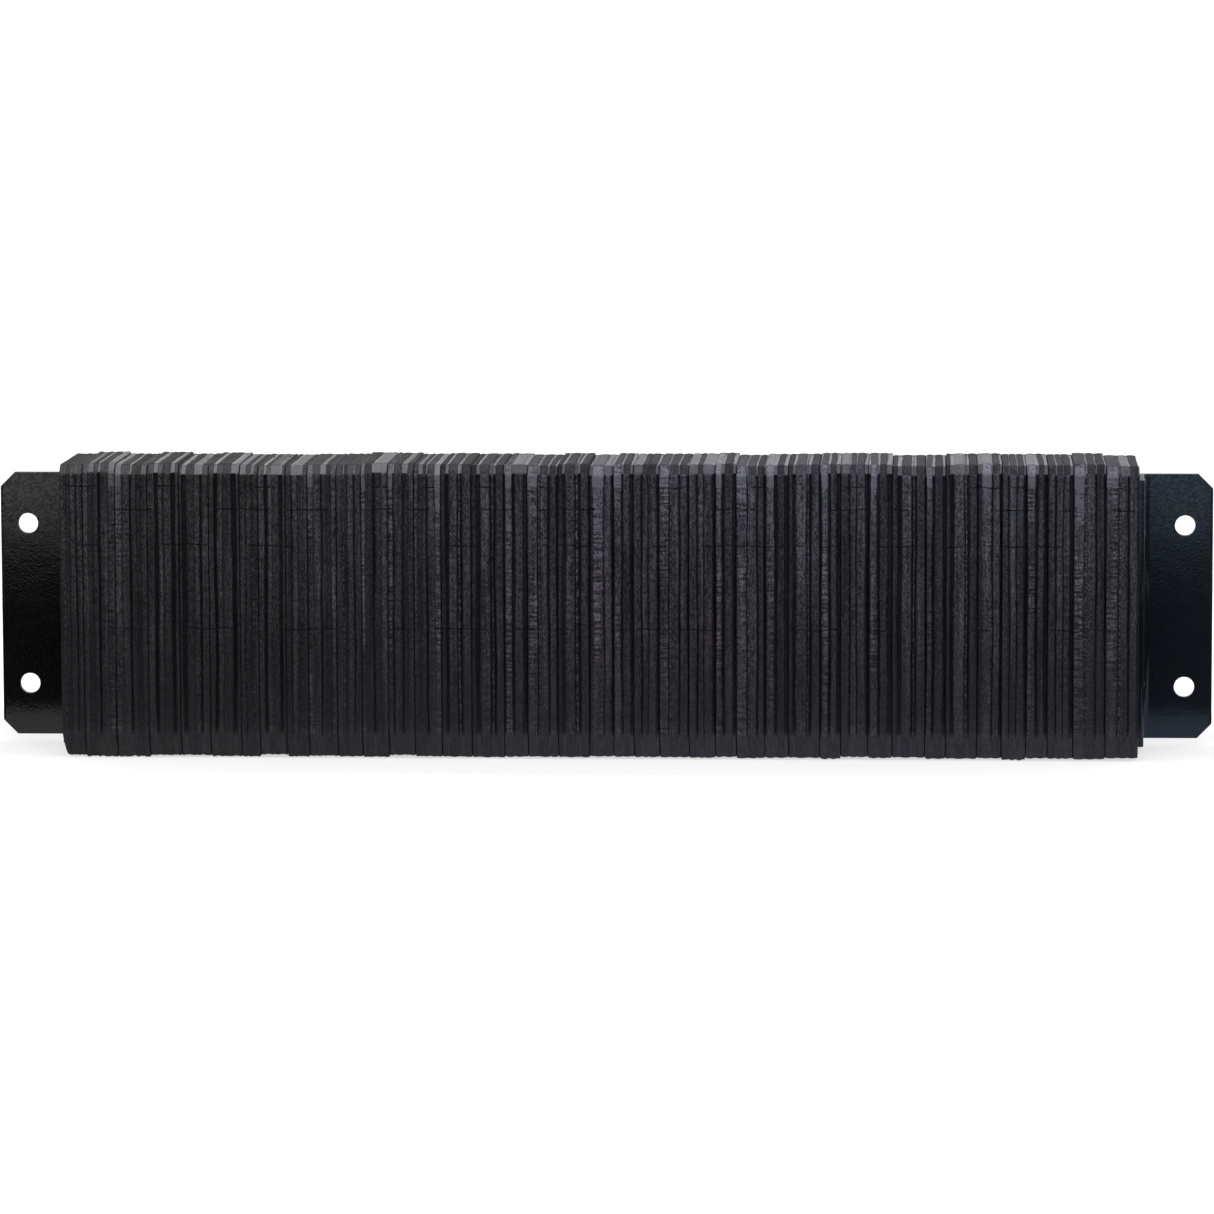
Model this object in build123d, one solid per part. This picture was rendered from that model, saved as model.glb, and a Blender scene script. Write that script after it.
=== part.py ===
"""Laminated rubber dock bumper: 40 rubber pads threaded on two steel tie rods between two
steel angles, whose outward legs carry the anchor holes.

Row frame: +X along the bumper, -Y out of the wall towards the vehicle, +Z up. The origin is
the centre of the four anchor holes, on the plane of the wall. All sizes are in millimetres.
"""
import os
import random

from build123d import *

# The rubber stack
STACK_LENGTH = 914.4
PAD_COUNT = 40
PAD_HEIGHT = 251.0
PAD_DEPTH = 114.3
PAD_RISE = 6.0
TOP_CHAMFER = 8.5
BOTTOM_BEVEL_HEIGHT = 20.0
BOTTOM_BEVEL_DEPTH = 8.0

# How unevenly the pads are cut and stacked
THICKNESS_SCATTER = 0.28
FRONT_SCATTER = 1.6
BACK_SCATTER = 1.2
HEIGHT_SCATTER = 1.0
BACK_CLEARANCE = 0.5
CUTTING_SEED = 36

# The tie rods, and the holes punched and drilled for them
ROD_DIAMETER = 19.05
ROD_SPACING = 127.0
ROD_FROM_WALL = 36.0
PAD_HOLE_DIAMETER = ROD_DIAMETER + 0.8
ANGLE_HOLE_DIAMETER = ROD_DIAMETER + 1.6
ROD_END_CHAMFER = 1.0

# The two rolled steel angles
ANGLE_LENGTH = 228.6
WALL_LEG = 66.7
SIDE_LEG = 63.5
ANGLE_THICKNESS = 6.35
ROOT_RADIUS = 6.0
TOE_RADIUS = 2.5
EDGE_RADIUS = 0.6
CLIPPED_CORNER = 12.7

# The anchor holes in the wall legs
ANCHOR_HOLE_DIAMETER = 17.5
ANCHOR_SPACING_X = 1000.0
ANCHOR_SPACING_Z = 139.7

# The plug welds that close the rod holes from outside
WELD_SINK = 3.5
WELD_CAP_DIAMETER = 27.0
WELD_CROWN = 1.8

STACK_END = STACK_LENGTH / 2
ANGLE_OUTSIDE = STACK_END + ANGLE_THICKNESS
ROD_CENTRES = [(-ROD_FROM_WALL, -ROD_SPACING / 2), (-ROD_FROM_WALL, ROD_SPACING / 2)]


def pad_thicknesses(dice):
    """Uneven thicknesses that add up to the stack's length."""
    shares = [1 + dice.uniform(-THICKNESS_SCATTER, THICKNESS_SCATTER) for _ in range(PAD_COUNT)]
    return [STACK_LENGTH * share / sum(shares) for share in shares]


def rubber_pad(start, thickness, dice):
    """One pad, standing across the bumper: cut-back front corners and two rod holes."""
    front = -PAD_DEPTH + dice.uniform(0, FRONT_SCATTER)
    back = -BACK_CLEARANCE - dice.uniform(0, BACK_SCATTER)
    top = PAD_RISE + PAD_HEIGHT / 2 + dice.uniform(-HEIGHT_SCATTER, HEIGHT_SCATTER)
    bottom = PAD_RISE - PAD_HEIGHT / 2 + dice.uniform(-HEIGHT_SCATTER, HEIGHT_SCATTER)
    outline = Polyline(
        (back, bottom),
        (front + BOTTOM_BEVEL_DEPTH, bottom),
        (front, bottom + BOTTOM_BEVEL_HEIGHT),
        (front, top - TOP_CHAMFER),
        (front + TOP_CHAMFER, top),
        (back, top),
        close=True,
    )
    face = make_face(outline) - Locations(*ROD_CENTRES) * Circle(PAD_HOLE_DIAMETER / 2)
    return extrude(Plane.YZ.offset(start) * face, thickness)


def rubber_stack():
    """The pads from left to right, each face to face with the next."""
    dice = random.Random(CUTTING_SEED)
    pads = []
    start = -STACK_END
    for thickness in pad_thicknesses(dice):
        pads.append(rubber_pad(start, thickness, dice))
        start += thickness
    return pads


def end_angle():
    """The right-hand angle: one leg on the wall, the other against the end of the stack."""
    toe_x = STACK_END + WALL_LEG
    section = make_face(
        Polyline(
            (STACK_END, 0),
            (toe_x, 0),
            (toe_x, -ANGLE_THICKNESS),
            (ANGLE_OUTSIDE, -ANGLE_THICKNESS),
            (ANGLE_OUTSIDE, -SIDE_LEG),
            (STACK_END, -SIDE_LEG),
            close=True,
        )
    )
    root = section.vertices().sort_by_distance((ANGLE_OUTSIDE, -ANGLE_THICKNESS))[0]
    section = fillet(root, ROOT_RADIUS)
    for toe in [(toe_x, -ANGLE_THICKNESS), (ANGLE_OUTSIDE, -SIDE_LEG)]:
        section = fillet(section.vertices().sort_by_distance(toe)[0], TOE_RADIUS)
    for sharp in [(toe_x, 0), (STACK_END, -SIDE_LEG), (STACK_END, 0)]:
        section = fillet(section.vertices().sort_by_distance(sharp)[0], EDGE_RADIUS)
    angle = extrude(section, ANGLE_LENGTH / 2, both=True)

    clip = Box(CLIPPED_CORNER * 2**0.5, 4 * ANGLE_THICKNESS, CLIPPED_CORNER * 2**0.5)
    for end in (-1, 1):
        angle -= Pos(toe_x, 0, end * ANGLE_LENGTH / 2) * Rot(Y=45) * clip
        anchor = Cylinder(ANCHOR_HOLE_DIAMETER / 2, 4 * ANGLE_THICKNESS)
        angle -= Pos(ANCHOR_SPACING_X / 2, 0, end * ANCHOR_SPACING_Z / 2) * Rot(X=90) * anchor
    for y, z in ROD_CENTRES:
        rod_hole = Cylinder(ANGLE_HOLE_DIAMETER / 2, 4 * ANGLE_THICKNESS)
        angle -= Pos(ANGLE_OUTSIDE, y, z) * Rot(Y=90) * rod_hole
    return angle


def tie_rod(y, z):
    """A plain round rod through the whole stack, ending inside the angles' rod holes."""
    rod = Cylinder(ROD_DIAMETER / 2, 2 * (ANGLE_OUTSIDE - WELD_SINK))
    rod = chamfer(rod.edges().filter_by(GeomType.CIRCLE), ROD_END_CHAMFER)
    return Pos(0, y, z) * Rot(Y=90) * rod


def plug_weld(y, z):
    """Weld metal that fills one right-hand rod hole and stands crowned on the angle."""
    cap_radius = WELD_CAP_DIAMETER / 2
    crown_radius = (cap_radius**2 + WELD_CROWN**2) / (2 * WELD_CROWN)
    crown = Pos(0, 0, WELD_CROWN - crown_radius) * Sphere(crown_radius)
    crown &= Pos(0, 0, WELD_CROWN) * Cylinder(WELD_CAP_DIAMETER, 2 * WELD_CROWN)
    plug = Pos(0, 0, -WELD_SINK / 2) * Cylinder(ANGLE_HOLE_DIAMETER / 2, WELD_SINK)
    return Pos(ANGLE_OUTSIDE, y, z) * Rot(Y=90) * (crown + plug)


def write(name, *solids):
    """Writes one node; a node of several like pieces keeps them as separate solids."""
    shape = solids[0] if len(solids) == 1 else Compound(children=list(solids))
    export_step(shape, f"parts/{name}.step")


def main():
    os.makedirs("parts", exist_ok=True)
    pads = rubber_stack()
    for number, pad in enumerate(pads, start=1):
        write(f"pad_{number:02d}", pad)
    right_angle = end_angle()
    right_welds = [plug_weld(y, z) for y, z in ROD_CENTRES]
    write("end_angle_right", right_angle)
    write("end_angle_left", mirror(right_angle, Plane.YZ))
    write("rod_welds_right", *right_welds)
    write("rod_welds_left", *[mirror(weld, Plane.YZ) for weld in right_welds])
    write("tie_rod_lower", tie_rod(*ROD_CENTRES[0]))
    write("tie_rod_upper", tie_rod(*ROD_CENTRES[1]))


main()
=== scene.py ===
# %% [markdown]
# # A laminated dock bumper
# A loading dock is guarded by a long buffer of rubber pads. The pads are cut from used
# truck tyres, threaded on two steel rods and squeezed between two steel angles. This lesson
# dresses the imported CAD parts: it gives every pad its cut plies, the angles their paint and
# the rods their welds, and ends with the floor, the light and the camera.
# The CAD parts fix every size, so each new piece is measured from them.

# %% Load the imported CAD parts
import math
import random

import bmesh
import bpy
from mathutils import Matrix, Vector, noise


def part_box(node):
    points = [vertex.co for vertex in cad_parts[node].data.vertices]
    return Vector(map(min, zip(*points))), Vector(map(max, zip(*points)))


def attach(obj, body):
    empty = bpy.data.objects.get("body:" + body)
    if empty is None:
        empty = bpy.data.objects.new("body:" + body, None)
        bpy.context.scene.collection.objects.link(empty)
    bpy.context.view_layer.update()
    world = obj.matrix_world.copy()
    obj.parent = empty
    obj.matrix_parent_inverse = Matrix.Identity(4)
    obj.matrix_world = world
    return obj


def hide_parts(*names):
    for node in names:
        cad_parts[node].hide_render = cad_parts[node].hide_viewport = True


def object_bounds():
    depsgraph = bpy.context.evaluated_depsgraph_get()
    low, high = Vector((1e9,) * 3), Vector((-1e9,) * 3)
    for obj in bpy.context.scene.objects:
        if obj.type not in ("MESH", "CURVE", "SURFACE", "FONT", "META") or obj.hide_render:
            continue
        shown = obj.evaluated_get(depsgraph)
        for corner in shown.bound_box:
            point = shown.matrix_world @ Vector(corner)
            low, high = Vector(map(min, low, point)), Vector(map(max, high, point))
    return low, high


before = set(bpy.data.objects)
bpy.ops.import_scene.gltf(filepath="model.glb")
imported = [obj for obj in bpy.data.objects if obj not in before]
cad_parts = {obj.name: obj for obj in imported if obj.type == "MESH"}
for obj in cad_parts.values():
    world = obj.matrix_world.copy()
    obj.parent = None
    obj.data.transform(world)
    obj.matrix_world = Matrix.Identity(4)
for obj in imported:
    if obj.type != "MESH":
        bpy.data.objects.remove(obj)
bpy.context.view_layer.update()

MM = 0.001

# %% [markdown]
# ## Shader maths as plain expressions
# A material is a graph of nodes, and a graph is tedious to write. The class below wraps one
# output socket, so that `tone * 0.4 + dust` adds the Math nodes by itself. Any other node
# comes from `Finish.node`, which takes its type, its settings and its socket values.

# %% One wrapped socket and one node maker
class Value:
    """An output socket on which +, -, * and ** build Math nodes."""

    def __init__(self, finish, socket):
        self.finish, self.socket = finish, socket

    def _math(self, operation, *others, **settings):
        return self.finish.node("ShaderNodeMath", {"operation": operation, **settings}, *others)

    def __add__(self, other): return self._math("ADD", self, other)
    def __radd__(self, other): return self._math("ADD", other, self)
    def __sub__(self, other): return self._math("SUBTRACT", self, other)
    def __rsub__(self, other): return self._math("SUBTRACT", other, self)
    def __mul__(self, other): return self._math("MULTIPLY", self, other)
    def __rmul__(self, other): return self._math("MULTIPLY", other, self)
    def __pow__(self, other): return self._math("POWER", self, other)

    def clamp(self):
        return self._math("ADD", self, 0.0, use_clamp=True)

    def between(self, low, high):
        """0 below low, 1 above high, smooth in between."""
        return self.finish.node(
            "ShaderNodeMapRange", {"interpolation_type": "SMOOTHSTEP"},
            Value=self, **{"From Min": low, "From Max": high},
        )


class Finish:
    """One material, built node by node."""

    def __init__(self, name, tree=None):
        if tree is None:
            self.material = bpy.data.materials.new(name)
            self.material.use_nodes = True
            tree = self.material.node_tree
        self.tree = tree
        self.tree.nodes.clear()

    def raw(self, kind, settings=None, *inputs, **named):
        node = self.tree.nodes.new(kind)
        for key, setting in (settings or {}).items():
            setattr(node, key, setting)
        for key, value in [*enumerate(inputs), *named.items()]:
            if isinstance(value, Value):
                self.tree.links.new(value.socket, node.inputs[key])
            else:
                node.inputs[key].default_value = value
        return node

    def node(self, kind, settings=None, *inputs, out=0, **named):
        return Value(self, self.raw(kind, settings, *inputs, **named).outputs[out])

    def place(self):
        """Object coordinates, in metres."""
        return self.node("ShaderNodeTexCoord", out="Object")

    def stretched(self, place, scale, turn=(0, 0, 0)):
        return self.node("ShaderNodeMapping", {}, place, Scale=scale, Rotation=turn)

    def clouds(self, where, scale, detail=3.0, rough=0.55):
        return self.node("ShaderNodeTexNoise", {}, Vector=where, Scale=scale, Detail=detail, Roughness=rough)

    def blend(self, factor, first, second):
        """A colour between first and second."""
        mix = self.tree.nodes.new("ShaderNodeMix")
        mix.data_type = "RGBA"
        for key, value in ((0, factor), (6, first), (7, second)):
            if isinstance(value, Value):
                self.tree.links.new(value.socket, mix.inputs[key])
            else:
                mix.inputs[key].default_value = value
        return Value(self, mix.outputs[2])

    def bump(self, height, distance, strength=1.0):
        return self.node("ShaderNodeBump", {}, Height=height, Distance=distance, Strength=strength)

    def surface(self, **sockets):
        body = self.node("ShaderNodeBsdfPrincipled", {}, **sockets)
        self.raw("ShaderNodeOutputMaterial", {}, Surface=body)
        return self.material


def shade(red, green=None, blue=None):
    """A colour, or a grey where only one number is given."""
    return (red, red if green is None else green, red if blue is None else blue, 1.0)


print("shader helpers ready")

# %% [markdown]
# ## The plies of a pad
# A tyre's wall is made of layers. Rubber-coated cord plies cut to a dull, fibrous grey, thick
# rubber cuts to a harder skin with knife chatter across it, and the thin skim between
# plies is soft, squeezes back a little and stays glossy black. Each pad therefore gets a
# short list of plies, and each ply its width, its recess and its finish.

# %% The kinds of ply and the pads' recipes
PLY_KINDS = {
    # kind: (recess in mm, tone, gloss, chatter)
    "cord": (0.10, 0.66, 0.05, 0.30),
    "fine": (0.15, 0.46, 0.15, 0.12),
    "rubber": (0.00, 0.72, 0.40, 1.00),
    "smooth": (0.05, 0.54, 0.45, 0.30),
    "dull": (0.50, 0.34, 0.10, 0.10),
    "skim": (1.40, 0.12, 1.00, 0.15),
    "line": (0.20, 2.00, 0.00, 0.00),
}
BROAD_PADS = [
    [("fine", 6), ("skim", 1.2), ("smooth", 5.8), ("skim", 0.5), ("smooth", 6.2), ("skim", 2.7)],
    [("dull", 4.2), ("skim", 2.8), ("cord", 7.5), ("skim", 1.0), ("line", 1.1), ("skim", 1.9), ("fine", 7)],
    [("skim", 1.3), ("rubber", 5.2), ("skim", 2.2), ("fine", 6.2), ("skim", 3.3)],
    [("rubber", 9), ("skim", 0.6), ("line", 1.1), ("cord", 6.8), ("skim", 1.1), ("fine", 6), ("skim", 1.1)],
    [("skim", 1.8), ("dull", 2.8), ("rubber", 9), ("skim", 1.0), ("cord", 6), ("skim", 2.0)],
]
FINE_PADS = [
    [("rubber", 3), ("fine", 6.5), ("skim", 2.2), ("dull", 5), ("cord", 6)],
    [("cord", 4), ("dull", 3.5), ("fine", 3.5), ("skim", 0.9), ("smooth", 6), ("rubber", 5)],
    [("rubber", 4), ("skim", 1.2), ("fine", 6.5), ("skim", 0.8), ("dull", 4), ("smooth", 5)],
    [("fine", 6), ("skim", 0.8), ("cord", 5), ("dull", 3.5), ("line", 1.0), ("fine", 5)],
    [("smooth", 5), ("skim", 2.4), ("cord", 4), ("fine", 6), ("skim", 2.8), ("fine", 3)],
    [("dull", 4), ("cord", 4.5), ("skim", 0.9), ("smooth", 4), ("dull", 3), ("line", 1.0), ("fine", 5)],
]
FINE_UNTIL = -140 * MM
RECIPE_LUCK = 2.5 * MM
WIDTH_LUCK, TONE_LUCK = (0.85, 1.2), (0.80, 1.18)
CUTTING_SEED = 11


def nearest_recipe(recipes, width, dice):
    """A recipe about as thick as the pad, with a little luck in the choice."""
    def misfit(recipe):
        return abs(sum(ply_width for _, ply_width in recipe) * MM - width) + dice.uniform(0, RECIPE_LUCK)

    return min(recipes, key=misfit)


def pad_plies(left, right, dice):
    """The plies of one pad as (start, end, kind, tone), filling it from left to right."""
    recipes = FINE_PADS if (left + right) / 2 < FINE_UNTIL else BROAD_PADS
    chosen = nearest_recipe(recipes, right - left, dice)
    recipe = [(kind, width * dice.uniform(*WIDTH_LUCK)) for kind, width in chosen]
    if recipes is FINE_PADS and dice.random() < 0.5:
        recipe.reverse()
    scale = (right - left) / sum(width for _, width in recipe)
    plies, start = [], left
    for kind, width in recipe:
        tone = PLY_KINDS[kind][1]
        if kind != "line":
            tone *= dice.uniform(*TONE_LUCK)
        plies.append((start, start + width * scale, kind, tone))
        start += width * scale
    return plies


pad_nodes = sorted(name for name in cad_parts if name.startswith("pad_"))
pad_boxes = [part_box(name) for name in pad_nodes]
print(len(pad_nodes), "pads to dress")

# %% [markdown]
# ## Cutting one pad
# The pad's side is an outline with two rod holes. It is drawn from its corners, the
# corners are bevelled, and its edges are subdivided so that they can be bent later.
# Extruding the filled outline gives a prism, and a plane cuts it where each ply begins
# and ends. This keeps every pad one closed solid, with the rod holes through it.

# %% The CAD pad's outline
ROD_BOXES = [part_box(rod) for rod in ("tie_rod_lower", "tie_rod_upper")]
ROD_MIDDLES = [((low.y + high.y) / 2, (low.z + high.z) / 2) for low, high in ROD_BOXES]
NEAR_ROD = 15 * MM


def near_a_rod(y, z):
    return any(math.dist((y, z), middle) < NEAR_ROD for middle in ROD_MIDDLES)


def cad_outline(node):
    """The corner points (y, z) of a CAD pad, in order round it, and its two x planes."""
    low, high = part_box(node)
    corners = set()
    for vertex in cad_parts[node].data.vertices:
        y, z = vertex.co.y, vertex.co.z
        if vertex.co.x < low.x + MM and not near_a_rod(y, z):
            corners.add((round(y, 5), round(z, 5)))
    middle = Vector((0, (low.y + high.y) / 2, (low.z + high.z) / 2))
    ordered = sorted(corners, key=lambda p: math.atan2(p[1] - middle.z, p[0] - middle.y))
    return ordered, low.x, high.x


corners, left, right = cad_outline(pad_nodes[0])
print("first pad's corners in mm:", [(round(y / MM, 1), round(z / MM, 1)) for y, z in corners])

# %% The prism with its rod holes and its ply cuts
CORNER_ROUND = 1.6 * MM
FRONT_STEP, BACK_STEP = 2.2 * MM, 4.5 * MM
ROD_LOW, ROD_HIGH = ROD_BOXES[0]
ROD_HOLE = (ROD_HIGH.z - ROD_LOW.z) / 2 + 0.4 * MM
FRONT_BAND = 30 * MM
ROD_SIDES = 28


def rounded_outline(bm, corners, x):
    """A closed ring of edges round the pad, with rounded corners and even steps."""
    verts = [bm.verts.new((x, y, z)) for y, z in corners]
    for first, second in zip(verts, verts[1:] + verts[:1]):
        bm.edges.new((first, second))
    bmesh.ops.bevel(
        bm, geom=verts, offset=CORNER_ROUND, segments=2, profile=0.5, affect="VERTICES", material=-1
    )
    front = min(y for y, _ in corners)
    for edge in list(bm.edges):
        reach = (edge.verts[0].co.y + edge.verts[1].co.y) / 2
        step = FRONT_STEP if reach < front + FRONT_BAND else BACK_STEP
        cuts = int(edge.calc_length() / step)
        if cuts:
            bmesh.ops.subdivide_edges(bm, edges=[edge], cuts=cuts)


def rod_rings(bm, x):
    """The two rod holes' rings of edges."""
    for y, z in ROD_MIDDLES:
        place = Matrix.Translation((x, y, z)) @ Matrix.Rotation(math.pi / 2, 4, "Y")
        bmesh.ops.create_circle(bm, segments=ROD_SIDES, radius=ROD_HOLE, matrix=place)


def pad_prism(corners, left, right, cuts):
    bm = bmesh.new()
    rounded_outline(bm, corners, left)
    rod_rings(bm, left)
    bmesh.ops.triangle_fill(bm, use_beauty=True, use_dissolve=False, edges=bm.edges[:], normal=(-1, 0, 0))
    pushed = bmesh.ops.extrude_face_region(bm, geom=bm.faces[:])
    moved = [item for item in pushed["geom"] if isinstance(item, bmesh.types.BMVert)]
    bmesh.ops.translate(bm, verts=moved, vec=(right - left, 0, 0))
    for cut in cuts:
        bmesh.ops.bisect_plane(
            bm, geom=bm.verts[:] + bm.edges[:] + bm.faces[:], dist=1e-7,
            plane_co=(cut, 0, 0), plane_no=(1, 0, 0),
        )
    bmesh.ops.recalc_face_normals(bm, faces=bm.faces[:])
    return bm


trial = pad_prism(corners, left, right, [(left + right) / 2])
print("a plain pad:", len(trial.faces), "faces, closed:", all(len(e.link_faces) == 2 for e in trial.edges))
trial.free()

# %% [markdown]
# ## Sinking the plies and roughening the cut
# Each point of the skin is moved along the skin's own direction, inwards by its ply's recess
# and by a little noise. The noise comes from the point's place, so it is the same each run.
# On the two front bevels a second knife cut has taken the plies' relief off, so the recess
# is scaled down there. The colour attribute `ply` stores tone, gloss, chatter and a random
# number for each face, and the attribute `crown` how near a point is to the middle of its
# ply, less a painted shade that darkens the seams at the pad's own faces, for the material
# to read. On the broad side faces no ply shows.

# %% How far a point of the skin sinks
EDGE_ROUND = 0.9 * MM
EDGE_WIDTH = 0.75 * MM
PLY_WALL = 0.3 * MM
WIDE_PLY = 4.5 * MM
CROWN = 0.45 * MM
WAVE, RIPPLE, NICK = 0.40 * MM, 0.13 * MM, 0.6 * MM


def ring_places(plies):
    """Where the prism is cut: beside each ply border, and just inside the pad's faces."""
    left, right = plies[0][0], plies[-1][1]
    places = [left + EDGE_WIDTH * 0.35, left + EDGE_WIDTH, right - EDGE_WIDTH, right - EDGE_WIDTH * 0.35]
    for start, end, kind, _ in plies:
        if start > left:
            places += [start - PLY_WALL / 2, start + PLY_WALL / 2]
        if kind != "line":
            shares = (0.18, 0.5, 0.82) if end - start > WIDE_PLY else (0.5,)
            places += [start + (end - start) * share for share in shares]
    return sorted(set(places))


def ply_at(plies, x):
    return next((ply for ply in plies if x <= ply[1]), plies[-1])


def edge_rounding(plies, x):
    """1 at the pad's own faces, falling to 0 just inside them."""
    gap = min(x - plies[0][0], plies[-1][1] - x)
    return max(0.0, 1 - gap / EDGE_WIDTH) ** 2


def crown(ply, x):
    """0 at a ply's borders, 1 along its middle."""
    share = (x - ply[0]) / (ply[1] - ply[0])
    return max(0.0, 1 - (2 * share - 1) ** 2)


def sink(point, normal, plies, number):
    """How far one skin point lies inside the outline."""
    ply = ply_at(plies, point.x)
    kind = ply[2]
    recess, _, _, chatter = PLY_KINDS[kind]
    flatness = max(abs(normal.y), abs(normal.z))
    relief = 1.0 if flatness > 0.97 else 0.25
    z, x = point.z + point.y, point.x
    wave = noise.noise(Vector((number * 3.7, z / (45 * MM), 0.3)))
    ripple = noise.noise(Vector((x / (9 * MM), z / (4.6 * MM), number)))
    nick = max(0.0, noise.noise(Vector((number * 1.9 + x / (14 * MM), z / (12 * MM), 5.1))) - 0.42)
    return (
        recess * MM * relief * (1 + 0.5 * noise.noise(Vector((number, z / (20 * MM), x / (4 * MM)))))
        + EDGE_ROUND * edge_rounding(plies, x)
        + CROWN * (1 - crown(ply, x)) * (0.3 if kind == "skim" else 1.0)
        + WAVE * (wave + 0.5)
        + RIPPLE * chatter * (ripple + 0.5)
        + NICK * nick * 2
    )


print("deepest recess in mm:", max(values[0] for values in PLY_KINDS.values()))

# %% Shape one pad
# Three scales of wander: (amount, width, height) in mm
WANDERS = ((1.0, 9, 90), (0.40, 6, 28), (0.42, 3, 5.5))
LEAN, LEAN_TALL = 3.4 * MM, 26 * MM
CORNER = 2.5 * MM
LEAN_FROM, LEAN_FADE = -70 * MM, 20 * MM


def shoulder(point, plies, number):
    """How far the first pad draws in at its bottom front corner."""
    if number != 0:
        return 0.0
    height = point.z - pad_boxes[number][0].z
    lean = LEAN * max(0.0, 1 - height / LEAN_TALL) ** 2
    corner = CORNER - math.sqrt(CORNER**2 - max(0.0, CORNER - max(0.0, height)) ** 2)
    ahead = min(1.0, max(0.0, (LEAN_FROM - point.y) / LEAN_FADE))
    share = (plies[-1][1] - point.x) / (plies[-1][1] - plies[0][0])
    return (lean + corner) * ahead * share


def shape_pad(bm, plies, number):
    """Moves the skin in, lets the plies wander, and leaves the rod holes alone."""
    bm.normal_update()
    left, right = plies[0][0], plies[-1][1]
    moves = []
    for vertex in bm.verts:
        if near_a_rod(vertex.co.y, vertex.co.z):
            continue
        normal = Vector((0, vertex.normal.y, vertex.normal.z))
        if normal.length < 0.05:
            continue
        normal.normalize()
        move = -normal * sink(vertex.co, normal, plies, number)
        if left + MM < vertex.co.x < right - MM:
            z = vertex.co.z + vertex.co.y
            for amount, wide, tall in WANDERS:
                where = Vector((vertex.co.x / (wide * MM), z / (tall * MM), number))
                move.x += amount * MM * noise.noise(where)
        move.x += shoulder(vertex.co, plies, number)
        moves.append((vertex, move))
    for vertex, move in moves:
        vertex.co += move


# What `ply` holds on a pad's broad side faces: tone, gloss, chatter and the random number
BROAD_FACE = (0.42, 0.35, 0.10, 0.3)
SEAM_PAINTED_SHADE = 1.4


def paint_plies(bm, plies, dice):
    """Stores each face's ply in the colour attribute, and how far it is from the ply's borders, less a
    painted shade that darkens the seams at the pad's own faces.
    """
    bm.normal_update()
    layer = bm.loops.layers.float_color.new("ply")
    crown_and_seam_shade_layer = bm.loops.layers.float.new("crown")
    luck = {ply: dice.random() for ply in plies}
    for face in bm.faces:
        ply = ply_at(plies, face.calc_center_median().x)
        broad = abs(face.normal.x) > 0.9
        _, _, gloss, chatter = PLY_KINDS[ply[2]]
        for loop in face.loops:
            x = loop.vert.co.x
            # Painted shade: the value falls below 0 at the pad's own faces, so the seams between pads are
            # darkened.
            crown_less_seam_shade = crown(ply, x) - SEAM_PAINTED_SHADE * edge_rounding(plies, x)
            loop[crown_and_seam_shade_layer] = 1.0 if broad else crown_less_seam_shade
            loop[layer] = BROAD_FACE if broad else (ply[3], gloss, chatter, luck[ply])


def dressed_pad(node, number, dice):
    corners, left, right = cad_outline(node)
    plies = pad_plies(left, right, dice)
    bm = pad_prism(corners, left, right, ring_places(plies))
    paint_plies(bm, plies, dice)
    shape_pad(bm, plies, number)
    mesh = bpy.data.meshes.new("rubber_" + node)
    bm.to_mesh(mesh)
    bm.free()
    for polygon in mesh.polygons:
        polygon.use_smooth = abs(polygon.normal.x) < 0.98
    piece = bpy.data.objects.new("rubber_" + node, mesh)
    bpy.context.collection.objects.link(piece)
    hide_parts(node)
    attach(piece, "root")
    return piece


dice = random.Random(CUTTING_SEED)
rubber_pads = [dressed_pad(node, number, dice) for number, node in enumerate(pad_nodes)]
print("pads:", len(rubber_pads), "polygons:", sum(len(p.data.polygons) for p in rubber_pads))

# %% [markdown]
# ## The rubber
# One material serves every ply. The attribute says how light, how glossy and how chattered a
# ply is; noise in object coordinates gives the fibres, the horizontal knife marks and the
# dust that settles on upward faces. Light and shade are painted in as well: the rubber is
# painted lighter towards its top, where the overhead light falls, and at its foot, where the
# floor's bounce falls; upward faces, the plies' borders and the seams between pads are
# painted darker; the lower half is painted a flatter, darker shade, so its plies grow alike;
# and the chamfer's glossy plies are painted bright as highlights. The left third's chamfer
# is lighter than the rest of it.

# %% Cut tyre rubber
SOOT = shade(0.0015, 0.0014, 0.0025)
FIBRE_GREY = shade(0.110, 0.109, 0.116)
FIBRE_BLUE = shade(0.142, 0.144, 0.182)
FIBRE_VIOLET = shade(0.146, 0.136, 0.174)
DUST = shade(0.13, 0.128, 0.12)
KNIFE_LINES = (112 * MM, 93 * MM, 62 * MM, -9 * MM)
# Where the planed bottom bevel begins, going forwards and going up
BEVEL_AHEAD, BEVEL_TOP = (88 * MM, 98 * MM), (-101 * MM, -95 * MM)
# Heights between which painted light makes the rubber lighter, going up
FRONT_RANGE, UPPER_RANGE = (-110 * MM, 110 * MM), (60 * MM, 112 * MM)
# Heights between which the painted shade that makes the plies alike stops, and the painted floor bounce that
# lightens the foot ends, going up
LOWER_RANGE, FOOT_RANGE = (-100 * MM, 40 * MM), (-104 * MM, -84 * MM)
# The height above which a painted highlight makes the thick rubber plies' fronts brightest, as the overhead
# light catches them
TOP_BAND = (111.5 * MM, 113 * MM)
# Where along the bumper the left third's chamfer gives way to the rest
LEFT_THIRD = (-320 * MM, -50 * MM)
LOW_SHADE_LEVEL = 0.150


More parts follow.
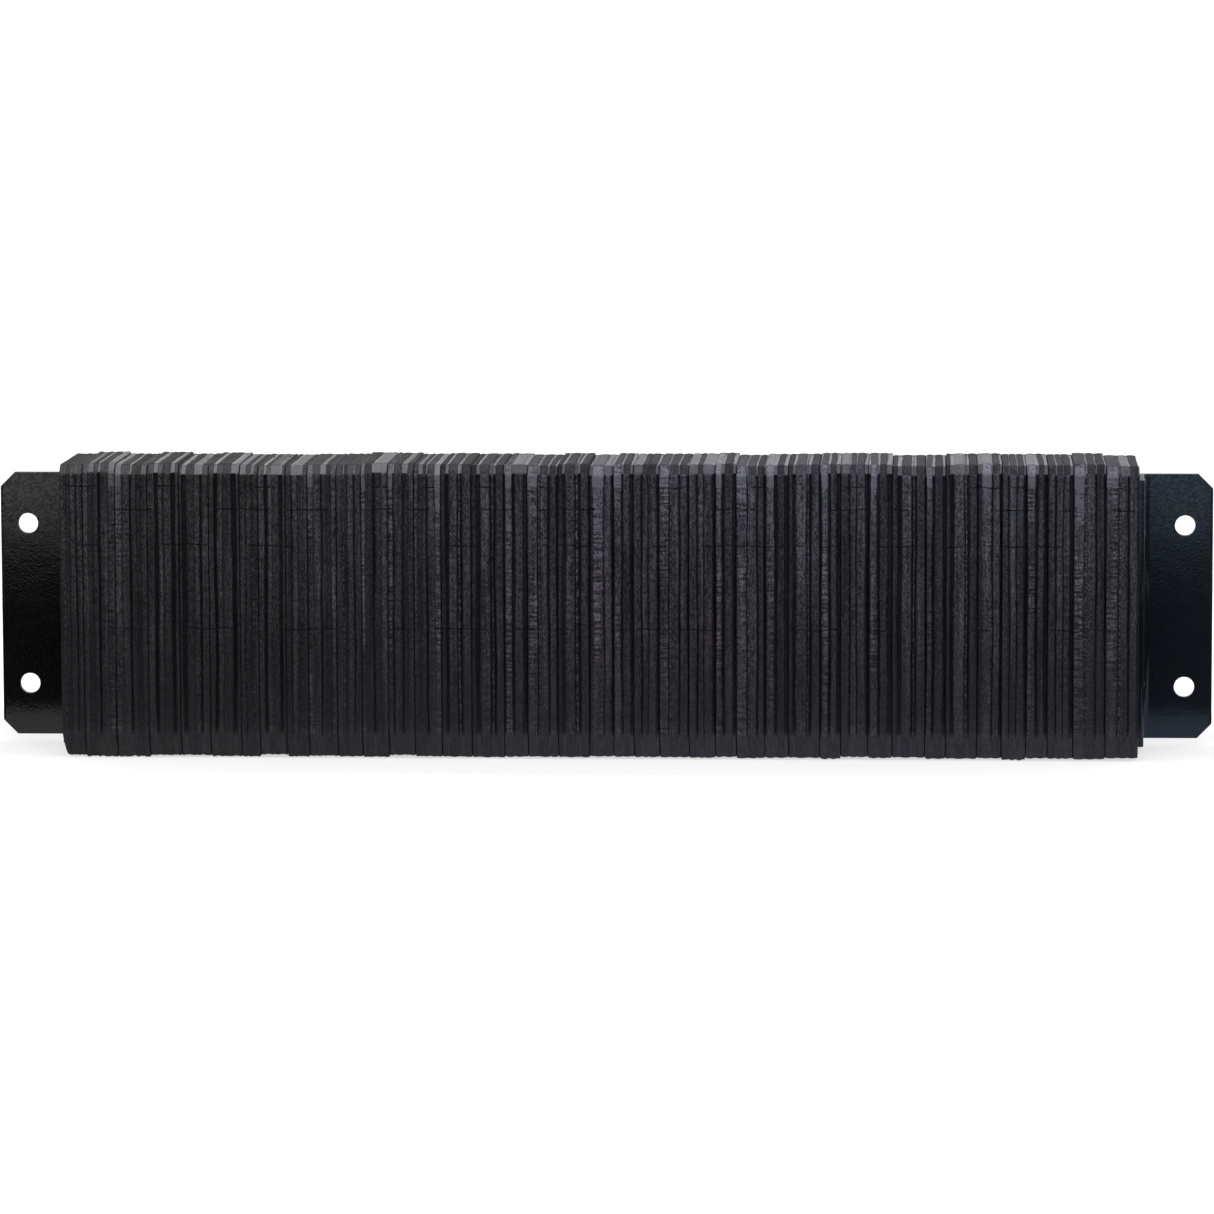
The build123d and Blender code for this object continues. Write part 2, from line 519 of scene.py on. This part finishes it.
def knife_lines(finish, place, across, height):
    """Thin level cuts that run across several pads and fade out."""
    wavy = height + (finish.clouds(finish.stretched(place, (45, 5, 5)), 1.0, 3.0) - 0.5) * (5 * MM)
    total = 0.0
    for number, level in enumerate(KNIFE_LINES):
        gap = finish.node("ShaderNodeMath", {"operation": "ABSOLUTE"}, wavy - level)
        gate = finish.clouds(finish.stretched(place, (26, 0, 0), (0, 0, number)), 1.0, 2.0)
        total = (1 - gap.between(0.3 * MM, 0.85 * MM)) * gate.between(0.50, 0.56) + total
    return total.clamp()


def cut_rubber():
    finish = Finish("cut_rubber")
    place = finish.place()
    where = finish.raw("ShaderNodeSeparateXYZ", {}, place)
    across, height = Value(finish, where.outputs[0]), Value(finish, where.outputs[2])
    facing = finish.raw("ShaderNodeSeparateXYZ", {}, finish.node("ShaderNodeNewGeometry", out="Normal"))
    tilt = Value(finish, facing.outputs[2])
    upward, chamfer = tilt.between(0.72, 0.95), tilt.between(0.3, 0.6)
    ahead = (0 - Value(finish, where.outputs[1])).between(*BEVEL_AHEAD)
    below = ahead * (1 - height.between(*BEVEL_TOP))
    ply = finish.raw("ShaderNodeAttribute", {"attribute_name": "ply"})
    parts = finish.raw("ShaderNodeSeparateColor", {}, Value(finish, ply.outputs["Color"]))
    tone, gloss, chatter = (Value(finish, parts.outputs[k]) for k in range(3))
    luck = Value(finish, ply.outputs["Alpha"])
    middle = finish.node("ShaderNodeAttribute", {"attribute_name": "crown"}, out="Fac")
    line = tone.between(1.3, 1.6)
    body = tone.between(0.06, 0.3)

    speckle = finish.clouds(finish.stretched(place, (620, 500, 430)), 1.0, 2.0, 0.6).between(0.37, 0.63)
    fibres = finish.clouds(finish.stretched(place, (900, 500, 120)), 1.0, 2.0, 0.6).between(0.3, 0.7)
    streaks = finish.clouds(finish.stretched(place, (480, 300, 8)), 1.0, 2.0).between(0.3, 0.7)
    drift = finish.clouds(finish.stretched(place, (190, 60, 10)), 1.0, 2.0).between(0.25, 0.75)
    marks = finish.clouds(finish.stretched(place, (70, 60, 430)), 1.0, 3.0, 0.55).between(0.38, 0.62)
    patches = finish.clouds(finish.stretched(place, (90, 60, 22)), 1.0, 2.0).between(0.4, 0.6)
    coarse = finish.clouds(place, 34.0, 3.0)
    dots = finish.clouds(finish.stretched(place, (300, 300, 520)), 1.0, 1.0).between(0.50, 0.62)
    weave = finish.node(
        "ShaderNodeTexWave", {"wave_type": "BANDS", "bands_direction": "X", "wave_profile": "SIN"},
        Vector=finish.stretched(place, (1, 1, 1), (0, math.radians(38), 0)), Scale=115.0,
        Distortion=5.0, Detail=2.0, **{"Detail Scale": 40.0},
    )
    woven = (1 - gloss * 3).clamp() * coarse.between(0.40, 0.55)
    lines = knife_lines(finish, place, across, height) * body
    # Painted highlight: the fronts of chattered plies are brightened in a band just below the top, where the
    # overhead light catches them.
    painted_top_highlight = height.between(*TOP_BAND) * chatter.between(0.5, 0.9) * (1 - upward)
    # Painted light: the rubber is lightened towards its top, where the overhead light falls, chattered plies
    # most, and lightened at its foot, where light bounces up from the floor.
    painted_height_light = 0.43 + height.between(*FRONT_RANGE) * 0.52 + height.between(*UPPER_RANGE) * chatter * 0.45
    painted_height_light = painted_height_light + (1 - height.between(*FOOT_RANGE)) * 0.3
    grain = 0.06 + speckle * 0.58 + fibres * 0.26 + streaks * 0.28
    level = tone * grain * painted_height_light * (0.55 + drift * 0.75)
    level = level * (1 - chatter * 0.55 * patches + marks * chatter * patches * 1.5)
    level = level * (1 + (weave - 0.5) * woven * 0.7) * (1 + painted_top_highlight * 2.4)
    # Painted shade: each ply is darkened towards its ragged borders, where the rounded plies meet in
    # recesses.
    ply_middle_unshaded = (middle - speckle * 0.30 - drift * 0.12).between(-0.05, 0.22)
    level = level * (0.35 + ply_middle_unshaded * 0.75) * (1 - lines * 0.85) * (1 - line * 0.75)
    frayed = (1 - middle.between(0.1, 0.5)) * dots * body * luck.between(0.5, 0.6)
    level = level + line * dots * 0.5 + frayed * 0.35
    planed = (chamfer * 0.7 + below * 0.85).clamp()
    shiny = (gloss.between(0.7, 0.9) + luck.between(0.70, 0.78) * 0.85).clamp()
    # Painted light on the planed faces: darker at ply borders and seams; the chamfer is darkened overall and
    # its glossy plies are painted bright as highlights.
    plain = (0.13 + streaks * 0.1 + coarse * 0.12) * (0.35 + middle.between(0.0, 0.1) * 0.65)
    plain = plain * (1 + chamfer * (shiny * 1.4 + tone * 0.7 - 0.98))
    plain = plain * (1 + chamfer * (1 - upward) * (1 - across.between(*LEFT_THIRD)) * 5.0)
    # Painted shade: the lower half's plies are pulled towards one darker level, as less light reaches them.
    painted_low_shade = (1 - height.between(*LOWER_RANGE)) * body * 0.45
    level = level * (1 - painted_low_shade) + LOW_SHADE_LEVEL * painted_low_shade
    level = level * (1 - planed) + plain * planed
    # Painted shade: the seams between pads are darkened, and upward faces are darkened by a quarter where
    # the overhead light falls strongest.
    level = level * (1 - (0 - middle).between(0.0, 0.7) * 0.9) * (1 - upward * 0.25)

    fibre = finish.blend(across.between(-0.35, 0.15), FIBRE_GREY, FIBRE_BLUE)
    fibre = finish.blend(luck.between(0.55, 0.75) * across.between(-0.3, 0.0), fibre, FIBRE_VIOLET)
    rubber = finish.blend(level.clamp(), SOOT, fibre)
    dusty = upward * 0.12 * coarse.between(0.25, 0.6) * (1 - shiny)
    colour = finish.blend(dusty.clamp(), rubber, DUST)
    rough = 0.88 - gloss * 0.50 + (speckle - 0.5) * 0.12 - (marks - 0.5) * chatter * 0.2
    wiped = 0.98 - shiny * (0.55 + coarse * 0.2)
    rough = rough * (1 - chamfer) + wiped * chamfer
    relief = marks * chatter * patches * 1.0 + speckle * body * 0.45 + weave * woven * 0.35 - lines * 0.6
    return finish.surface(
        **{
            "Base Color": colour, "Roughness": rough.clamp(), "Specular IOR Level": 0.22,
            "Normal": finish.bump(relief, 0.5 * MM, 0.9),
        }
    )


rubber = cut_rubber()
for piece in rubber_pads:
    piece.data.materials.append(rubber)
print("rubber nodes:", len(rubber.node_tree.nodes))

# %% [markdown]
# ## The steel angles
# Rolled angle has soft edges, and paint rounds them further. The CAD angle is already
# right in size, so a copy of it is merged, its flat faces are joined back into single
# faces, and its sharp edges are bevelled to catch the light.

# %% Soften the CAD angles
PAINTED_EDGE = 0.7 * MM


def merged_copy(node):
    bm = bmesh.new()
    bm.from_mesh(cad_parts[node].data)
    bmesh.ops.remove_doubles(bm, verts=bm.verts[:], dist=0.01 * MM)
    bmesh.ops.dissolve_limit(
        bm, angle_limit=math.radians(1), use_dissolve_boundaries=False, verts=bm.verts[:], edges=bm.edges[:]
    )
    return bm


def painted_angle(node):
    bm = merged_copy(node)
    sharp = [e for e in bm.edges if len(e.link_faces) == 2 and e.calc_face_angle() > math.radians(35)]
    bmesh.ops.bevel(
        bm, geom=sharp, offset=PAINTED_EDGE, segments=2, profile=0.5, affect="EDGES", material=-1,
        clamp_overlap=True,
    )
    mesh = bpy.data.meshes.new("painted_" + node)
    bm.to_mesh(mesh)
    print(node, len(bm.faces), "faces, closed:", all(len(e.link_faces) == 2 for e in bm.edges))
    bm.free()
    piece = bpy.data.objects.new("painted_" + node, mesh)
    bpy.context.collection.objects.link(piece)
    for polygon in mesh.polygons:
        polygon.use_smooth = max(abs(part) for part in polygon.normal) < 0.9999
    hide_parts(node)
    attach(piece, "root")
    return piece


angles = [painted_angle(node) for node in ("end_angle_left", "end_angle_right")]

# %% Black enamel
NEUTRAL_BLACK, BLUE_BLACK = shade(0.0035, 0.0035, 0.0037), shade(0.0088, 0.0114, 0.0148)
# The second sheen tint is painted shade on the right angle's reflections, making them dimmer and bluer.
CLEAR_SHEEN, DIM_BLUE_SHEEN = shade(1.0, 1.0, 1.0), shade(0.50, 0.66, 0.86)
# The pale colours serve both for dust and scuffs and for the painted reflection mottle on the upper part.
GREY_DUST_AND_SHEEN, BLUE_DUST_AND_SHEEN = shade(0.12, 0.12, 0.12), shade(0.07, 0.09, 0.12)
SHEEN_MOTTLE_HEIGHT = (30 * MM, 95 * MM)
WELD_RIPPLE = 3.0


def black_enamel(name, black, sheen_tint, dust_wear_and_sheen, ripple):
    """Gloss paint with orange peel, pale dust and scuffs, and a painted mottled reflection on its upper
    part.
    """
    finish = Finish(name)
    place = finish.place()
    peel = finish.clouds(place, 520.0, 2.0)
    slow = finish.clouds(place, 45.0, 2.0)
    dust = finish.clouds(place, 2600.0, 0.0).between(0.76, 0.82)
    scratches = finish.stretched(place, (60, 60, 900), (0.2, 0.5, 0.3))
    scuff = finish.clouds(scratches, 1.0, 2.0).between(0.62, 0.74)
    worn = scuff * slow.between(0.5, 0.7) * 0.3
    where = finish.raw("ShaderNodeSeparateXYZ", {}, place)
    upper = Value(finish, where.outputs[2]).between(*SHEEN_MOTTLE_HEIGHT)
    # Painted reflection: the upper part of the paint is mottled with the pale colour, as its orange peel
    # would catch the light.
    painted_sheen_mottle = finish.clouds(place, 430.0, 1.0).between(0.40, 0.62) * upper * 0.3
    base = finish.blend((dust * 0.4 + worn * 0.3 + painted_sheen_mottle).clamp(), black, dust_wear_and_sheen)
    facing = finish.raw("ShaderNodeSeparateXYZ", {}, finish.node("ShaderNodeNewGeometry", out="Normal"))
    sawn = (Value(finish, facing.outputs[2]) ** 2.0).between(0.85, 0.97)
    rough = 0.055 + slow * 0.06 + worn * 0.4 + dust * 0.3 + sawn * (0.35 + 0.2 * peel)
    height = peel * 0.9 + slow * 1.5 + ripple * finish.clouds(place, 260.0, 2.0)
    return finish.surface(
        **{
            "Base Color": base, "Roughness": rough.clamp(), "IOR": 1.52, "Specular Tint": sheen_tint,
            "Normal": finish.bump(height, 0.085 * MM, 0.8),
        }
    )


paints = [
    black_enamel("enamel_left", NEUTRAL_BLACK, CLEAR_SHEEN, GREY_DUST_AND_SHEEN, 0.0),
    black_enamel("enamel_right", BLUE_BLACK, DIM_BLUE_SHEEN, BLUE_DUST_AND_SHEEN, 0.0),
]
for piece, paint in zip(angles, paints):
    piece.data.materials.append(paint)

# %% [markdown]
# ## The plug welds
# Each rod ends inside the angle's hole, and the hole is filled with weld metal. A weld that
# is run round in a spiral sets in overlapping ripples, so the profile is spun a full turn
# and its skin is then raised in rings that lean to one side.

# %% Spin the welds
WELD_CROWN = 1.8 * MM
CAP_STEPS, TURN_STEPS = 26, 72
PLUG_SHARE = 0.76
RING_PITCH = 3 * MM
RING_HEIGHT, RING_SINK = 0.2 * MM, 0.22 * MM


def weld_crown(low, high, outward):
    """One weld: a crowned cap with rings, and the plug behind it."""
    middle, radius = (low + high) / 2, (high.z - low.z) / 2
    depth = high.x - low.x
    face = high.x if outward > 0 else low.x
    bm = bmesh.new()
    profile = [bm.verts.new((0, 0, 0))]
    for step in range(1, CAP_STEPS + 1):
        r = radius * step / CAP_STEPS
        profile.append(bm.verts.new((-WELD_CROWN * (r / radius) ** 2, 0, r)))
    plug = radius * PLUG_SHARE
    profile.append(bm.verts.new((-WELD_CROWN, 0, plug)))
    profile.append(bm.verts.new((-depth, 0, plug)))
    profile.append(bm.verts.new((-depth, 0, 0)))
    edges = [bm.edges.new(pair) for pair in zip(profile, profile[1:])]
    bmesh.ops.spin(
        bm, geom=profile + edges, cent=(0, 0, 0), axis=(1, 0, 0), angle=math.tau, steps=TURN_STEPS,
        use_merge=True, use_duplicate=False,
    )
    bmesh.ops.remove_doubles(bm, verts=bm.verts[:], dist=0.01 * MM)
    for vertex in bm.verts:
        r = math.hypot(vertex.co.y, vertex.co.z)
        if vertex.co.x > -WELD_CROWN * 1.01 and r < radius * 0.97:
            turn = math.atan2(vertex.co.z, vertex.co.y)
            wobble = noise.noise(vertex.co / (4 * MM) + Vector((middle.z * 40, outward, 0)))
            rings = math.sin(math.tau * r / RING_PITCH + turn + wobble * 2)
            inside = min(1.0, (radius - r) / (RING_PITCH / 2))
            vertex.co.x += (RING_HEIGHT * rings - RING_SINK) * inside
    if outward < 0:
        bmesh.ops.scale(bm, vec=(-1, 1, 1), verts=bm.verts[:])
    bmesh.ops.translate(bm, vec=(face, middle.y, middle.z), verts=bm.verts[:])
    bmesh.ops.recalc_face_normals(bm, faces=bm.faces[:])
    return bm


def weld_pair(node, outward):
    low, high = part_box(node)
    size = high.y - low.y
    mesh = bpy.data.meshes.new("crowned_" + node)
    both = bmesh.new()
    for bottom in (low.z, high.z - size):
        one = weld_crown(Vector((low.x, low.y, bottom)), Vector((high.x, high.y, bottom + size)), outward)
        part = bpy.data.meshes.new("weld_part")
        one.to_mesh(part)
        both.from_mesh(part)
        one.free()
        bpy.data.meshes.remove(part)
    both.to_mesh(mesh)
    print(node, "closed:", all(len(e.link_faces) == 2 for e in both.edges), len(both.faces))
    both.free()
    mesh.polygons.foreach_set("use_smooth", [True] * len(mesh.polygons))
    mesh.set_sharp_from_angle(angle=math.radians(50))
    piece = bpy.data.objects.new("crowned_" + node, mesh)
    bpy.context.collection.objects.link(piece)
    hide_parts(node)
    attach(piece, "root")
    return piece


welds = [weld_pair("rod_welds_left", -1), weld_pair("rod_welds_right", 1)]
weld_enamel = black_enamel("weld_enamel", NEUTRAL_BLACK, CLEAR_SHEEN, GREY_DUST_AND_SHEEN, WELD_RIPPLE)
for piece in welds:
    piece.data.materials.append(weld_enamel)

# %% [markdown]
# ## The tie rods
# The rods are hidden in the stack, and plain CAD cylinders are right for them. They get the
# brown-grey scale and the fine drawing lines of mill bar.

# %% Mill steel
def mill_steel():
    finish = Finish("mill_steel")
    place = finish.place()
    drawn = finish.clouds(finish.stretched(place, (30, 2500, 2500)), 1.0, 3.0)
    scale = finish.clouds(place, 90.0, 4.0).between(0.42, 0.6)
    colour = finish.blend(scale, shade(0.30, 0.29, 0.28), shade(0.11, 0.085, 0.07))
    return finish.surface(
        **{
            "Base Color": colour, "Metallic": 1 - scale * 0.6,
            "Roughness": (0.32 + drawn * 0.2 + scale * 0.25).clamp(),
            "Normal": finish.bump(drawn, 0.05 * MM, 0.6),
        }
    )


steel = mill_steel()
for rod in ("tie_rod_lower", "tie_rod_upper"):
    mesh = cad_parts[rod].data
    mesh.materials.clear()
    mesh.materials.append(steel)
print("rod length in mm:", round((ROD_HIGH.x - ROD_LOW.x) / MM, 1))

# %% [markdown]
# ## Floor, light and camera
# The bumper stands on a pale floor. The light is soft: a bright sky overhead and behind, and
# a darker room in front, so that the gloss stays black. The floor itself is left out of all
# reflections and bounced light. Two glowing cards lie on it in its place: a near one, as a
# sheet of white paper would be, and a far one that only the gloss shows.

# %% A pale floor
FLOOR_REACH = 90.0


def level_sheet(name, reach, front, back, height, paint):
    """A level sheet from front to back, reaching equally far to both sides."""
    bm = bmesh.new()
    bmesh.ops.create_grid(bm, x_segments=1, y_segments=1, size=1.0)
    bmesh.ops.scale(bm, vec=(reach, (back - front) / 2, 1), verts=bm.verts[:])
    bmesh.ops.translate(bm, vec=(0, (front + back) / 2, height), verts=bm.verts[:])
    mesh = bpy.data.meshes.new(name)
    bm.to_mesh(mesh)
    bm.free()
    mesh.materials.append(paint)
    sheet = bpy.data.objects.new(name, mesh)
    bpy.context.collection.objects.link(sheet)
    return sheet


def pale_floor():
    finish = Finish("pale_floor")
    grain = finish.clouds(finish.place(), 12.0, 2.0)
    tint = finish.blend(grain, shade(0.92, 0.92, 0.93), shade(0.94, 0.94, 0.94))
    return finish.surface(**{"Base Color": tint, "Roughness": 0.95, "Specular IOR Level": 0.0})


floor_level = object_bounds()[0].z
floor = level_sheet("floor", FLOOR_REACH, -FLOOR_REACH, FLOOR_REACH, floor_level, pale_floor())
floor.visible_glossy = False
floor.visible_diffuse = False
print("floor at z in mm:", round(floor_level / MM, 1))

# %% Two reflectors on the floor
CARDS = {
    # name: (reach, front, back, where the glow starts, where it is full, strength), in metres
    "far_reflector": (12.0, -3.4, -1.25, -1.40, -2.15, 0.85),
    "near_reflector": (0.56, -0.205, 0.205, 1.0, 0.9, 0.65),
}


CARD_LIFT = 0.5 * MM


def card_glow(name, start, full, strength):
    finish = Finish(name)
    ahead = finish.raw("ShaderNodeSeparateXYZ", {}, finish.place())
    fade = 1 - Value(finish, ahead.outputs[1]).between(full, start)
    light = finish.blend(fade, shade(0.0), shade(1.0))
    glow = finish.node("ShaderNodeEmission", {}, Color=light, Strength=strength)
    finish.raw("ShaderNodeOutputMaterial", {}, Surface=glow)
    return finish.material


for name, (reach, front, back, start, full, strength) in CARDS.items():
    glow = card_glow(name, start, full, strength)
    card = level_sheet(name, reach, front, back, floor_level + CARD_LIFT, glow)
    card.visible_camera = card.visible_transmission = card.visible_shadow = False
    card.visible_diffuse = name == "near_reflector"

# %% Soft studio light
SKY_STRENGTH = 1.64
SOFTBOXES = {
    # name: (spot, aim, width, depth, power, whether paint reflects it)
    "overhead_softbox": ((0.0, -0.45, 1.0), (0.0, -0.15, 0.0), 2.0, 0.5, 6.0, True),
    "front_fill": ((0.2, -3.5, 1.2), (0.0, 0.0, 0.0), 3.0, 1.6, 40.0, False),
}


def studio_sky():
    world = bpy.data.worlds.new("studio_sky")
    bpy.context.scene.world = world
    world.use_nodes = True
    sky = Finish("studio_sky", world.node_tree)
    way = sky.raw("ShaderNodeSeparateXYZ", {}, sky.node("ShaderNodeTexCoord", out="Generated"))
    back, height = Value(sky, way.outputs[1]), Value(sky, way.outputs[2])
    side = sky.node("ShaderNodeMath", {"operation": "ABSOLUTE"}, Value(sky, way.outputs[0]))
    bright = (height + back * 0.42 + side * 0.3).between(0.15, 0.95)
    dome = sky.blend(bright, shade(0.012), shade(1.0))
    light = sky.node("ShaderNodeBackground", {}, Color=dome, Strength=SKY_STRENGTH)
    sky.raw("ShaderNodeOutputWorld", {}, Surface=light)


def softbox(name, spot, aim, width, depth, power, shines):
    lamp = bpy.data.lights.new(name, "AREA")
    lamp.shape, lamp.size, lamp.size_y, lamp.energy = "RECTANGLE", width, depth, power
    box = bpy.data.objects.new(name, lamp)
    bpy.context.collection.objects.link(box)
    box.location = spot
    box.rotation_mode = "QUATERNION"
    box.rotation_quaternion = (Vector(aim) - Vector(spot)).to_track_quat("-Z", "Y")
    box.visible_camera = False
    box.visible_glossy = shines


studio_sky()
for name, settings in SOFTBOXES.items():
    softbox(name, *settings)

# %% The camera
CAMERA_SPOT = (0.2835, -5.1923, 0.5981)
CAMERA_TURN, CAMERA_DIP, CAMERA_ROLL = math.radians(3.10), math.radians(6.59), math.radians(-0.19)
CAMERA_LENS, CAMERA_SENSOR = 179.4, 36.0
CAMERA_FAR = 400.0

camera_data = bpy.data.cameras.new("catalogue_camera")
camera_data.lens, camera_data.sensor_width = CAMERA_LENS, CAMERA_SENSOR
camera_data.clip_end = CAMERA_FAR
camera = bpy.data.objects.new("catalogue_camera", camera_data)
bpy.context.collection.objects.link(camera)
camera.location = CAMERA_SPOT
turned = Matrix.Rotation(CAMERA_TURN, 3, "Z") @ Matrix.Rotation(math.pi / 2 - CAMERA_DIP, 3, "X")
camera.rotation_euler = (turned @ Matrix.Rotation(CAMERA_ROLL, 3, "Z")).to_euler()
bpy.context.scene.camera = camera
bpy.context.scene.view_settings.view_transform = "Standard"
print("camera at", CAMERA_SPOT)
